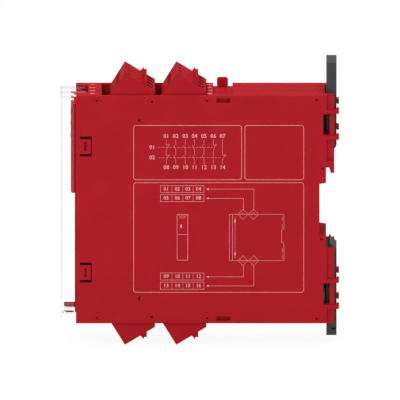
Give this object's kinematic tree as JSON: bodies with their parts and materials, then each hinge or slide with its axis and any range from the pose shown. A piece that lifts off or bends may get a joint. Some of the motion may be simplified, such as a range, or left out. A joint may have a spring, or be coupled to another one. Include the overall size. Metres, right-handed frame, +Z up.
{
  "type": "safety relay module",
  "caption": "Narrow red rail-mounted safety relay with plug-in screw terminals at top and bottom, hinged clear front cover, sliding foot and sprung rail latch.",
  "frame": {"origin": "centre of the rail seat plane at the rail's mid height, in the middle of the module's width", "axes": "+X across the narrow width towards the labelled side, +Y backwards into the rail, +Z up"},
  "size_m": [0.0226, 0.1184, 0.1228],
  "materials": {
    "red_shell": "satin moulded, signal red",
    "red_cover": "satin moulded, signal red, white print",
    "red_panel": "satin moulded, signal red",
    "red_plug": "satin moulded red",
    "clear_cover": "clear polycarbonate",
    "clear_guide": "clear polycarbonate",
    "grey_foot": "dark grey moulded",
    "spring_steel": "dark, oiled",
    "clamp_steel": "plated",
    "contact_brass": "plain",
    "header_red": "moulded dark red",
    "board": "green solder mask",
    "light_source": "clear lens",
    "relay_case": "moulded cream",
    "core_iron": "laminated",
    "bobbin": "taped winding",
    "capacitor_can": "sleeved"
  },
  "bodies": {
    "module": {"housing": "red_shell", "side_cover": "red_cover", "front_panel": "red_panel", "light_guides": "clear_guide", "latch_spring": "spring_steel", "main_board": "board", "status_board": "board", "status_lights": "light_source", "relay_upper": "relay_case", "relay_lower": "relay_case", "transformer_core": "core_iron", "transformer_bobbin": "bobbin", "capacitor": "capacitor_can", "header_top_front": "header_red", "header_top_rear": "header_red", "header_bottom_front": "header_red", "header_bottom_rear": "header_red", "header_pins_top_front": "contact_brass", "header_pins_top_rear": "contact_brass", "header_pins_bottom_front": "contact_brass", "header_pins_bottom_rear": "contact_brass"},
    "cover": {"front_cover": "clear_cover"},
    "foot": {"mounting_foot": "grey_foot"},
    "latch": {"rail_latch": "grey_foot"},
    "top_front_plug": {"plug_top_front": "red_plug", "clamps_top_front": "clamp_steel", "screws_top_front": "clamp_steel", "contacts_top_front": "contact_brass"},
    "top_rear_plug": {"plug_top_rear": "red_plug", "clamps_top_rear": "clamp_steel", "screws_top_rear": "clamp_steel", "contacts_top_rear": "contact_brass"},
    "bottom_front_plug": {"plug_bottom_front": "red_plug", "clamps_bottom_front": "clamp_steel", "screws_bottom_front": "clamp_steel", "contacts_bottom_front": "contact_brass"},
    "bottom_rear_plug": {"plug_bottom_rear": "red_plug", "clamps_bottom_rear": "clamp_steel", "screws_bottom_rear": "clamp_steel", "contacts_bottom_rear": "contact_brass"}
  },
  "joints": [
    {"name": "cover_hinge", "type": "hinge", "parent": "module", "child": "cover", "pos_m": [0, -0.1029, 0.0476], "axis": [-1, 0, 0], "range_deg": [0, 100]},
    {"name": "foot_slide", "type": "slide", "parent": "module", "child": "foot", "axis": [0, 0, 1], "range_m": [-0.003, 0]},
    {"name": "latch_slide", "type": "slide", "parent": "module", "child": "latch", "axis": [0, 0, -1], "range_m": [0, 0.005], "stiffness_N_per_m": 800, "springref_m": -0.004, "deforming": ["latch_spring"]},
    {"name": "top_front_plug_slide", "type": "slide", "parent": "module", "child": "top_front_plug", "axis": [0, 0.521, 0.8536], "range_m": [0, 0.012]},
    {"name": "top_rear_plug_slide", "type": "slide", "parent": "module", "child": "top_rear_plug", "axis": [0, 0.521, 0.8536], "range_m": [0, 0.012]},
    {"name": "bottom_front_plug_slide", "type": "slide", "parent": "module", "child": "bottom_front_plug", "axis": [0, 0.521, -0.8536], "range_m": [0, 0.012]},
    {"name": "bottom_rear_plug_slide", "type": "slide", "parent": "module", "child": "bottom_rear_plug", "axis": [0, 0.521, -0.8536], "range_m": [0, 0.012]}
  ]
}
